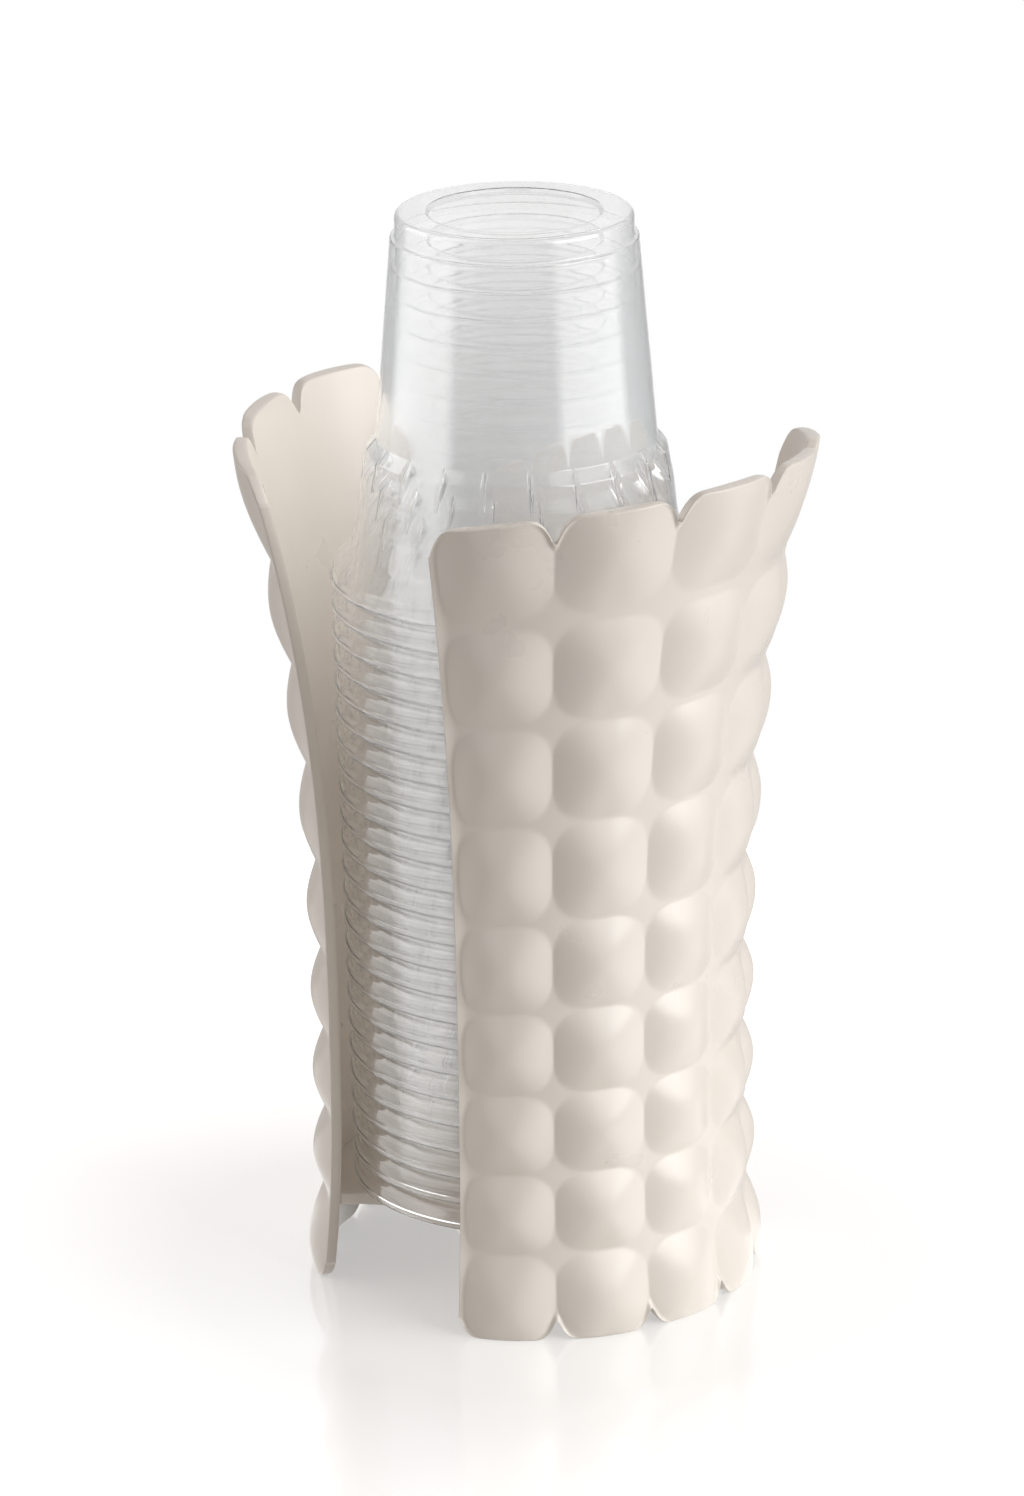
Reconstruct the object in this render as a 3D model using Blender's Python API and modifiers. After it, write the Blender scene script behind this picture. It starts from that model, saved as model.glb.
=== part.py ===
"""Cup dispenser: two quilted walls on a raised floor, round a stack of nested clear cups.

Units are metres and +Z is up. The origin lies on the table under the holder's centre. The two
openings between the walls face -Y and +Y, and the cups stand upside down on the floor.
"""

import math

import bmesh
import bpy

OBJECT_NAME = "cup_dispenser"

# Holder, a ring of quilt columns with an opening at the front and at the back
HOLDER_HEIGHT = 0.1655
WAIST_LEVEL_SHARE = 0.21
WALL = 0.0023
COLUMNS_AROUND = 14
OPENING_COLUMNS = 2
TOP_FLARE = 0.01435
TOP_FLARE_POWER = 2.7
FOOT_FLARE = 0.0021
FOOT_FLARE_POWER = 2

# Quilt rows from the foot up, and how far the rows sag towards the free edges at the top
ROW_SHARES = (0.100, 0.096, 0.097, 0.100, 0.108, 0.121, 0.122, 0.126, 0.130)
ROW_SAG = 0.0052
ROW_SAG_POWER = 1.4

# Cushions, as rounded squares from -1 to 1 across a column and up a row, cut off at the foot and the top
CUSHION_HEIGHT = 0.0026
CUSHION_CORNER_POWER = 3.2
CUSHION_DOME_POWER = 2
ROW_SEAM_SHARE = 0.96
FOOT_CUT_SHARE = 0.75
TOP_CUT_SHARE = 0.55
COLUMN_STATION_SHARES = (-1, -0.8, -0.4, 0, 0.4, 0.8, 1)
ROW_STATION_SHARES = (-1, -0.55, 0, 0.55, 1)

# Notches between the lobes along the top and foot edges
TOP_NOTCH = 0.0049
FOOT_NOTCH = 0.0035
LOBE_FLAT_SHARE = 0.4
NOTCH_POWER = 4

# Floor, joined to both walls at the first row seam
FLOOR_THICKNESS = 0.0022
FLOOR_ROOT_SHARE = 0.5
FLOOR_BITE = 0.008
FLOOR_SIDES = 28
BITE_SIDES = 32

# Cups, all alike, each wider at every step from its base down to its lip
CUP_COUNT = 24
CUP_SIDES = 16
CUP_HEIGHT = 0.070
CUP_PITCH = 0.00515
CUP_WALL = 0.00025
HEEL_DRAFT = 0.0001
LEDGE_WIDTH = 0.0008
SHOULDER_RADIUS = 0.0261
SHOULDER_WIDTH = 0.0018
SHOULDER_DROP = 0.0020
SHOULDER_DEPTH = 0.0426
SKIRT_DRAFT = 0.0032
LIP_FLARE = 0.0039
LIP_HEIGHT = 0.0030
LIP_FLARE_HEIGHT = 0.0040

# Fits
CUP_ROOM = 0.00315
NEST_GAP = 0.000184
SEAT_GAP = 0.0003
STACK_SHIFT = 0.0008
STACK_LEAN = 0.0024
STACK_LEAN_DIRECTION = math.radians(226)
CUT_OVERRUN = 0.002
MERGE_DISTANCE = 0.00001

# Materials as colour, roughness, transmission and opacity
HOLDER_COLOUR = (0.72, 0.67, 0.62, 1)
HOLDER_ROUGHNESS = 0.42
CUP_COLOUR = (0.86, 0.88, 0.89, 1)
CUP_ROUGHNESS = 0.08
CUP_TRANSMISSION = 0.9
CUP_ALPHA = 0.35

# Cup sizes worked out from those above: the upper wall's draft lets each cup pass over the next
LEDGE_DEPTH = CUP_PITCH - CUP_WALL - SEAT_GAP
UPPER_DRAFT = (SHOULDER_DEPTH - LEDGE_DEPTH) * (CUP_WALL + NEST_GAP) / CUP_PITCH
LEDGE_RADIUS = SHOULDER_RADIUS - UPPER_DRAFT
HEEL_RADIUS = LEDGE_RADIUS - LEDGE_WIDTH
BASE_RADIUS = HEEL_RADIUS - HEEL_DRAFT
NECK_RADIUS = SHOULDER_RADIUS + SHOULDER_WIDTH + SKIRT_DRAFT
LIP_RADIUS = NECK_RADIUS + LIP_FLARE

# Holder sizes worked out from those above
WAIST_RADIUS = LIP_RADIUS + CUP_ROOM
COLUMN_ANGLE = math.tau / COLUMNS_AROUND
OPENING_HALF_ANGLE = OPENING_COLUMNS * COLUMN_ANGLE / 2
WALL_COLUMNS = COLUMNS_AROUND // 2 - OPENING_COLUMNS
ROW_LEVELS = [sum(ROW_SHARES[:k]) / sum(ROW_SHARES) * HOLDER_HEIGHT for k in range(len(ROW_SHARES) + 1)]
WAIST_LEVEL = WAIST_LEVEL_SHARE * HOLDER_HEIGHT
FLOOR_TOP = ROW_LEVELS[1] + FLOOR_THICKNESS / 2
CUP_STANDING_LEVEL = FLOOR_TOP + SEAT_GAP


def clear_scene():
    """Remove every object that the file started with."""
    for item in list(bpy.data.objects):
        bpy.data.objects.remove(item, do_unlink=True)


def new_collection(name):
    """Make a collection under the scene's own."""
    collection = bpy.data.collections.new(name)
    bpy.context.scene.collection.children.link(collection)
    return collection


def new_material(name, colour, roughness, transmission=0, alpha=1):
    """Make a Principled material."""
    material = bpy.data.materials.new(name)
    material.use_nodes = True
    shader = material.node_tree.nodes["Principled BSDF"]
    shader.inputs["Base Color"].default_value = colour
    shader.inputs["Roughness"].default_value = roughness
    shader.inputs["Transmission Weight"].default_value = transmission
    shader.inputs["Alpha"].default_value = alpha
    return material


def mesh_from(name, form):
    """Turn a bmesh into mesh data and free it."""
    mesh = bpy.data.meshes.new(name)
    form.to_mesh(mesh)
    form.free()
    return mesh


def add_object(name, mesh, collection, material=None):
    """Place mesh data in a collection as a named object."""
    item = bpy.data.objects.new(name, mesh)
    collection.objects.link(item)
    if material is not None and not mesh.materials:
        mesh.materials.append(material)
    return item


def make_guide(item):
    """Show an object as a wire only, and keep it out of renders and of the build."""
    item.hide_render = True
    item.display_type = "WIRE"


# Holder


def column_angle(column):
    """Angle round the axis at a place across one wall, in columns from its front edge."""
    return OPENING_HALF_ANGLE + column * COLUMN_ANGLE


def wall_radius(level):
    """Inside radius at a level: narrow at the waist, flared to the top and a little to the foot."""
    rise = max(0, (level - WAIST_LEVEL) / (HOLDER_HEIGHT - WAIST_LEVEL))
    fall = max(0, (WAIST_LEVEL - level) / WAIST_LEVEL)
    return WAIST_RADIUS + TOP_FLARE * rise**TOP_FLARE_POWER + FOOT_FLARE * fall**FOOT_FLARE_POWER


def notch_share(across):
    """Share of a notch's depth: none over a lobe's flat, all of it at the column seam."""
    past_flat = max(0, abs(across) - LOBE_FLAT_SHARE) / (1 - LOBE_FLAT_SHARE)
    return past_flat**NOTCH_POWER


def seam_level(row, column, across):
    """Level of a row seam, or of the foot or top edge, at a place across the wall."""
    level = ROW_LEVELS[row]
    from_middle = 2 * column / WALL_COLUMNS - 1
    level -= ROW_SAG * (level / HOLDER_HEIGHT) ** ROW_SAG_POWER * from_middle**2
    if row == 0:
        level += FOOT_NOTCH * notch_share(across)
    if row == len(ROW_SHARES):
        level -= TOP_NOTCH * notch_share(across)
    return level


def cushion_reach(row, upward):
    """Place up the cushion from -1 to 1, near those at its row seams and short of them at a cut edge."""
    low = FOOT_CUT_SHARE if row == 0 else ROW_SEAM_SHARE
    high = TOP_CUT_SHARE if row == len(ROW_SHARES) - 1 else ROW_SEAM_SHARE
    return (low + high) * (1 + upward) / 2 - low


def cushion_share(across, reach):
    """Share of the cushion's height on a rounded square that falls to none at its outline."""
    corner = abs(across) ** CUSHION_CORNER_POWER + abs(reach) ** CUSHION_CORNER_POWER
    outline = corner ** (1 / CUSHION_CORNER_POWER)
    return max(0, 1 - outline**CUSHION_DOME_POWER)


def web_dip(radius, across):
    """How far the web under a cushion lies inside the circle: it is flat from seam to seam."""
    return radius * (1 - math.cos(COLUMN_ANGLE / 2)) * (1 - across**2)


def stations(count, shares):
    """Grid lines over a run of cells, each as its cell and its place from -1 to 1 in that cell."""
    lines = [(cell, share) for cell in range(count) for share in shares[:-1]]
    return lines + [(count - 1, shares[-1])]


def wall_point(column_station, row_station, outside):
    """Point of the wall's inside or outside skin."""
    (cell, across), (row, upward) = column_station, row_station
    column = cell + (1 + across) / 2
    low, high = seam_level(row, column, across), seam_level(row + 1, column, across)
    level = low + (high - low) * (1 + upward) / 2
    radius = wall_radius(level)
    if outside:
        radius += WALL
        radius += CUSHION_HEIGHT * cushion_share(across, cushion_reach(row, upward)) - web_dip(radius, across)
    angle = column_angle(column)
    return radius * math.sin(angle), -radius * math.cos(angle), level


def make_wall_mesh():
    """Wall on the +X side: a grid for the inside skin, thickened outwards into cushions."""
    across = stations(WALL_COLUMNS, COLUMN_STATION_SHARES)
    upward = stations(len(ROW_SHARES), ROW_STATION_SHARES)
    form = bmesh.new()
    bmesh.ops.create_grid(form, x_segments=len(across) - 1, y_segments=len(upward) - 1, size=1)
    for vertex in form.verts:
        column = round((vertex.co.x + 1) / 2 * (len(across) - 1))
        row = round((vertex.co.y + 1) / 2 * (len(upward) - 1))
        vertex.co.xy = column, row
    outer = bmesh.ops.extrude_face_region(form, geom=form.faces[:])["geom"]
    outer_vertices = {item for item in outer if isinstance(item, bmesh.types.BMVert)}
    for vertex in form.verts:
        column, row = int(vertex.co.x), int(vertex.co.y)
        vertex.co = wall_point(across[column], upward[row], vertex in outer_vertices)
    bmesh.ops.recalc_face_normals(form, faces=form.faces[:])
    return mesh_from("wall", form)


def make_cylinder(name, radius, height, sides, centre, collection):
    """Upright cylinder that other objects are joined to or cut by."""
    form = bmesh.new()
    bmesh.ops.create_cone(form, cap_ends=True, segments=sides, radius1=radius, radius2=radius, depth=height)
    item = add_object(name, mesh_from(name, form), collection)
    item.location = centre
    make_guide(item)
    return item


def add_boolean(item, operation, other):
    """Join or cut an object with another."""
    modifier = item.modifiers.new(operation.lower(), "BOOLEAN")
    modifier.operation = operation
    modifier.object = other


def make_floor(cutters):
    """Floor disc rooted in both walls, with a hollow bite out of its edge in each opening."""
    middle = FLOOR_TOP - FLOOR_THICKNESS / 2
    inside = wall_radius(middle)
    radius = inside + FLOOR_ROOT_SHARE * WALL
    floor = make_cylinder("floor_guide", radius, FLOOR_THICKNESS, FLOOR_SIDES, (0, 0, middle), cutters)
    half_chord = inside * math.sin(OPENING_HALF_ANGLE)
    chord_distance = inside * math.cos(OPENING_HALF_ANGLE)
    bite_radius = (half_chord**2 + FLOOR_BITE**2) / (2 * FLOOR_BITE)
    bite_distance = chord_distance - FLOOR_BITE + bite_radius
    depth = FLOOR_THICKNESS + 2 * CUT_OVERRUN
    for side, name in ((-1, "front_bite_cutter"), (1, "back_bite_cutter")):
        centre = (0, side * bite_distance, middle)
        add_boolean(floor, "DIFFERENCE", make_cylinder(name, bite_radius, depth, BITE_SIDES, centre, cutters))
    return floor


def make_holder(parts, cutters):
    """Both walls and the floor as one moulding."""
    material = new_material("holder_satin_plastic", HOLDER_COLOUR, HOLDER_ROUGHNESS)
    holder = add_object("holder", make_wall_mesh(), parts, material)
    holder.data.shade_smooth()
    mirror = holder.modifiers.new("opposite wall", "MIRROR")
    mirror.merge_threshold = MERGE_DISTANCE
    add_boolean(holder, "UNION", make_floor(cutters))
    return holder


# Cups


def cup_profile():
    """Outside of an inverted cup from the middle of its base down to its lip, radius then level."""
    ledge_level = CUP_HEIGHT - LEDGE_DEPTH
    shoulder_level = CUP_HEIGHT - SHOULDER_DEPTH
    return (
        (0, CUP_HEIGHT),
        (BASE_RADIUS, CUP_HEIGHT),
        (HEEL_RADIUS, ledge_level),
        (LEDGE_RADIUS, ledge_level),
        (SHOULDER_RADIUS, shoulder_level),
        (SHOULDER_RADIUS + SHOULDER_WIDTH, shoulder_level - SHOULDER_DROP),
        (NECK_RADIUS, LIP_HEIGHT + LIP_FLARE_HEIGHT),
        (LIP_RADIUS, LIP_HEIGHT),
        (LIP_RADIUS, 0),
    )


def make_profile_mesh():
    """Cup profile as a chain of edges in the XZ plane."""
    form = bmesh.new()
    vertices = [form.verts.new((radius, 0, level)) for radius, level in cup_profile()]
    for upper, lower in zip(vertices, vertices[1:]):
        form.edges.new((upper, lower))
    return mesh_from("cup_profile", form)


def make_cup(name, profile, parts, material):
    """Thin cup: its profile turned about the axis and thickened inwards."""
    cup = add_object(name, profile, parts, material)
    turn = cup.modifiers.new("turn", "SCREW")
    turn.steps = CUP_SIDES
    turn.render_steps = CUP_SIDES
    turn.use_merge_vertices = True
    turn.merge_threshold = MERGE_DISTANCE
    wall = cup.modifiers.new("wall", "SOLIDIFY")
    wall.thickness = CUP_WALL
    wall.offset = -1
    wall.use_even_offset = True
    return cup


def make_stack(holder, parts):
    """Nested cups, each carried by the one below it and the lowest by the floor."""
    material = new_material("cup_clear_plastic", CUP_COLOUR, CUP_ROUGHNESS, CUP_TRANSMISSION, CUP_ALPHA)
    profile = make_profile_mesh()
    step = STACK_LEAN / (CUP_COUNT - 1)
    carrier = holder
    place = (0, STACK_SHIFT, CUP_STANDING_LEVEL)
    for number in range(1, CUP_COUNT + 1):
        cup = make_cup(f"cup_{number:02d}", profile, parts, material)
        cup.parent = carrier
        cup.location = place
        carrier = cup
        place = (step * math.cos(STACK_LEAN_DIRECTION), step * math.sin(STACK_LEAN_DIRECTION), CUP_PITCH)


def main():
    """Build the cup dispenser."""
    clear_scene()
    parts = new_collection(OBJECT_NAME)
    cutters = new_collection("cutters")
    holder = make_holder(parts, cutters)
    make_stack(holder, parts)


main()
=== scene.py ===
"""Studio picture of a cup dispenser: two quilted satin walls round a stack of nested clear cups.

Lengths are metres and +Z is up, in the frame's own axes. The origin lies on the table under the
holder's centre, and the openings between the walls face -Y and +Y.
"""

from __future__ import annotations

import logging
import math
from dataclasses import dataclass
from enum import Enum
from typing import Any

import bpy
import numpy as np
from mathutils import Matrix, Vector


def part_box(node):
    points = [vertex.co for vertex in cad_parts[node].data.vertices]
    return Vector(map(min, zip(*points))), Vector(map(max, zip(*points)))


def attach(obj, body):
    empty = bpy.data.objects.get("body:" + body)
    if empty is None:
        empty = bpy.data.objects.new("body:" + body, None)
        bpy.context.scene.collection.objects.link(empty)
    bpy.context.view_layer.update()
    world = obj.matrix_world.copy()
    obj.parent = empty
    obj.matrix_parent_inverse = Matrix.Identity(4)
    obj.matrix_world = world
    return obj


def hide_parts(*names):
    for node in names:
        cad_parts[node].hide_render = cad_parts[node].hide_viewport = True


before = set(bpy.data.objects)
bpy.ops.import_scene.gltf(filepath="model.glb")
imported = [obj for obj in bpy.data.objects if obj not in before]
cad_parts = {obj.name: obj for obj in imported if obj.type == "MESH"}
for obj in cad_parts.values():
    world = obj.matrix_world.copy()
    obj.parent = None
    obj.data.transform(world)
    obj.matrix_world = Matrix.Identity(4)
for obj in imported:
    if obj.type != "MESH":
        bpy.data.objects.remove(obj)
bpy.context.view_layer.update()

MM = 0.001
NO_BOUNCE = 0.5  # A ray's depth counts whole bounces, so this parts none from one or more.
LOG = logging.getLogger("cup_dispenser")


def linear(code: str, alpha: float = 1.0) -> tuple[float, float, float, float]:
    """Turn an sRGB hex colour into linear light, by the straight foot and the power of sRGB's own curve.

    Args:
        code: Six hex digits, as in "DED6CC".
        alpha: Opacity that goes with the colour.

    Returns:
        Red, green, blue and alpha, each from 0 to 1.
    """
    parts = [int(code[k : k + 2], 16) / 255 for k in (0, 2, 4)]
    red, green, blue = (p / 12.92 if p <= 0.04045 else ((p + 0.055) / 1.055) ** 2.4 for p in parts)
    return red, green, blue, alpha


def add_node(
    tree: bpy.types.NodeTree,
    kind: str,
    settings: dict[str | int, Any] | None = None,
    links: dict[str | int, bpy.types.NodeSocket] | None = None,
) -> bpy.types.Node:
    """Add a node, set its inputs or properties, and link its inputs.

    Args:
        tree: Node tree that takes the node.
        kind: Blender's name for the node type.
        settings: Values by input name, input number or property name.
        links: Source sockets by input name or number.

    Returns:
        The new node.
    """
    node = tree.nodes.new(kind)
    for key, value in (settings or {}).items():
        if isinstance(key, int) or key in node.inputs:
            node.inputs[key].default_value = value
        else:
            setattr(node, key, value)
    for key, source in (links or {}).items():
        tree.links.new(source, node.inputs[key])
    return node


def empty_material(name: str) -> tuple[bpy.types.Material, bpy.types.NodeTree]:
    """Make a material without nodes in its tree.

    Args:
        name: Name of the finish.

    Returns:
        The material and its node tree.
    """
    material = bpy.data.materials.new(name)
    material.use_nodes = True
    material.node_tree.nodes.clear()
    return material, material.node_tree


# Finishes


@dataclass(frozen=True)
class SatinPlastic:
    """Injection-moulded ABS with a fine satin texture, in a warm pale beige.

    To the eye it is an even, soft, slightly silky surface: highlights spread wide over each
    cushion, with a barely seen grain and a faint flow mottle from the mould.
    """

    name: str = "moulded_satin_abs"
    colour: str = "E0DCD5"
    mottle_colour: str = "DDD7CF"
    ior: float = 1.5
    roughness: float = 0.29
    roughness_spread: float = 0.05
    mottle_size: float = 14 * MM
    grain_size: float = 0.35 * MM
    grain_height: float = 0.006 * MM
    wave_size: float = 9 * MM
    wave_height: float = 0.02 * MM

    def material(self) -> bpy.types.Material:
        """Build the node material.

        Returns:
            The satin plastic as a material.
        """
        material, tree = empty_material(self.name)
        place = add_node(tree, "ShaderNodeTexCoord").outputs["Object"]
        noise, at = "ShaderNodeTexNoise", {"Vector": place}
        mottle = add_node(tree, noise, {"Scale": 1 / self.mottle_size, "Detail": 3}, at)
        grain = add_node(tree, noise, {"Scale": 1 / self.grain_size, "Detail": 2}, at)
        wave = add_node(tree, noise, {"Scale": 1 / self.wave_size, "Detail": 1}, at)
        colour = add_node(
            tree,
            "ShaderNodeMix",
            {"data_type": "RGBA", 6: linear(self.colour), 7: linear(self.mottle_colour)},
            {0: mottle.outputs["Fac"]},
        )
        roughness = add_node(
            tree,
            "ShaderNodeMapRange",
            {
                "To Min": self.roughness - self.roughness_spread,
                "To Max": self.roughness + self.roughness_spread,
            },
            {"Value": mottle.outputs["Fac"]},
        )
        swell = add_node(
            tree,
            "ShaderNodeBump",
            {"Strength": 1, "Distance": self.wave_height},
            {"Height": wave.outputs["Fac"]},
        )
        texture = add_node(
            tree,
            "ShaderNodeBump",
            {"Strength": 1, "Distance": self.grain_height},
            {"Height": grain.outputs["Fac"], "Normal": swell.outputs["Normal"]},
        )
        shader = add_node(
            tree,
            "ShaderNodeBsdfPrincipled",
            {"IOR": self.ior},
            {
                "Base Color": colour.outputs[2],
                "Roughness": roughness.outputs["Result"],
                "Normal": texture.outputs["Normal"],
            },
        )
        add_node(tree, "ShaderNodeOutputMaterial", links={"Surface": shader.outputs["BSDF"]})
        return material


@dataclass(frozen=True)
class ClearPlastic:
    """Thermoformed clear polystyrene, a quarter of a millimetre thick.

    To the eye each wall is nearly colourless, with soft ripples from forming and a trace of milky
    haze. Its two skins refract and mirror, so beads and ledges show as fine dark and light lines,
    and nested walls add up to streaks of grey and light. Lamps and scattered light go straight
    through it, as through a film.
    """

    name: str = "thermoformed_clear_polystyrene"
    tint: str = "FFFFFF"
    shade_tint: str = "FFFFFF"
    haze_colour: str = "E4EAEE"
    haze: float = 0.032
    haze_back_share: float = 0.5
    ior: float = 1.5
    roughness: float = 0.02
    ripple_size: float = 5 * MM
    ripple_height: float = 0.012 * MM

    def material(self) -> bpy.types.Material:
        """Build the node material: hazy glass to the lens and in mirrors, a film to scattered light.

        Returns:
            The clear plastic as a material.
        """
        material, tree = empty_material(self.name)
        place = add_node(tree, "ShaderNodeTexCoord").outputs["Object"]
        ripple = add_node(
            tree, "ShaderNodeTexNoise", {"Scale": 1 / self.ripple_size, "Detail": 2}, {"Vector": place}
        )
        normal = add_node(
            tree,
            "ShaderNodeBump",
            {"Strength": 1, "Distance": self.ripple_height},
            {"Height": ripple.outputs["Fac"]},
        ).outputs["Normal"]
        glass = add_node(
            tree,
            "ShaderNodeBsdfGlass",
            {"Color": linear(self.tint), "IOR": self.ior, "Roughness": self.roughness},
            {"Normal": normal},
        )
        haze = {"Color": linear(self.haze_colour)}
        front = add_node(tree, "ShaderNodeBsdfDiffuse", haze, {"Normal": normal})
        back = add_node(tree, "ShaderNodeBsdfTranslucent", haze, {"Normal": normal})
        milk = add_node(
            tree,
            "ShaderNodeMixShader",
            {0: self.haze_back_share},
            {1: front.outputs["BSDF"], 2: back.outputs["BSDF"]},
        )
        body = add_node(
            tree, "ShaderNodeMixShader", {0: self.haze}, {1: glass.outputs["BSDF"], 2: milk.outputs["Shader"]}
        )
        film = add_node(tree, "ShaderNodeBsdfTransparent", {"Color": linear(self.shade_tint)})
        path = add_node(tree, "ShaderNodeLightPath")
        scattered = add_node(
            tree,
            "ShaderNodeMath",
            {"operation": "GREATER_THAN", 1: NO_BOUNCE},
            {0: path.outputs["Diffuse Depth"]},
        )
        unseen = add_node(
            tree,
            "ShaderNodeMath",
            {"operation": "MAXIMUM"},
            {0: path.outputs["Is Shadow Ray"], 1: scattered.outputs["Value"]},
        )
        skin = add_node(
            tree,
            "ShaderNodeMixShader",
            links={0: unseen.outputs["Value"], 1: body.outputs["Shader"], 2: film.outputs["BSDF"]},
        )
        add_node(tree, "ShaderNodeOutputMaterial", links={"Surface": skin.outputs["Shader"]})
        return material


# Mesh helpers


def grid_faces(ids: np.ndarray) -> np.ndarray:
    """Quads over a sheet of vertex numbers, turning from its first axis to its second.

    Args:
        ids: Vertex numbers on a two-dimensional grid.

    Returns:
        One row of four vertex numbers for each cell of the grid.
    """
    corners = (ids[:-1, :-1], ids[1:, :-1], ids[1:, 1:], ids[:-1, 1:])
    return np.stack(corners, axis=-1).reshape(-1, 4)


def turned_faces(rings: int, spokes: int) -> list[np.ndarray]:
    """Faces of a shape turned round an axis that starts and ends on the axis.

    Args:
        rings: Number of rings between the two end points.
        spokes: Number of vertices in each ring.

    Returns:
        Quads between the rings and triangles at both ends; the end points are the last two vertices.
    """
    ids = np.arange(rings * spokes).reshape(rings, spokes)
    closed = np.concatenate([ids, ids[:, :1]], axis=1)
    first, last = rings * spokes, rings * spokes + 1
    start = np.stack([np.full(spokes, first), closed[0, :-1], closed[0, 1:]], axis=-1)
    end = np.stack([np.full(spokes, last), closed[-1, 1:], closed[-1, :-1]], axis=-1)
    return [grid_faces(closed), start, end]


def make_piece(
    name: str, points: np.ndarray, faces: list[np.ndarray], material: bpy.types.Material
) -> bpy.types.Object:
    """Put arrays of points and faces into a smooth-shaded object at the origin.

    Args:
        name: Name of the piece.
        points: One row of x, y and z for each vertex.
        faces: Arrays of vertex numbers, one row for each face.
        material: Finish of the whole piece.

    Returns:
        The new object, linked to the scene.
    """
    mesh = bpy.data.meshes.new(name)
    corners = np.concatenate([part.ravel() for part in faces]).astype(np.int32)
    sizes = np.concatenate([np.full(len(part), part.shape[1]) for part in faces])
    starts = np.concatenate([[0], np.cumsum(sizes)[:-1]]).astype(np.int32)
    mesh.vertices.add(len(points))
    mesh.vertices.foreach_set("co", points.astype(np.float32).ravel())
    mesh.loops.add(len(corners))
    mesh.loops.foreach_set("vertex_index", corners)
    mesh.polygons.add(len(starts))
    mesh.polygons.foreach_set("loop_start", starts)
    mesh.update(calc_edges=True)
    mesh.validate()
    mesh.shade_smooth()
    mesh.materials.append(material)
    piece = bpy.data.objects.new(name, mesh)
    bpy.context.scene.collection.objects.link(piece)
    return piece


def arc_insets(radius: float, steps: int = 3) -> np.ndarray:
    """Distances from a box's edge at which grid lines make even steps round its rounded edge.

    Args:
        radius: Radius of the rounded edge.
        steps: Steps in an eighth of a turn.

    Returns:
        Distances from 0 to the radius: the radius less its tangent at even angles.
    """
    angles = np.linspace(math.pi / 4, 0, steps + 1)
    return radius * (1 - np.tan(angles))


# Holder


class Side(Enum):
    """Which of the two walls, by the sign of its x."""

    RIGHT = 1
    LEFT = -1


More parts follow.
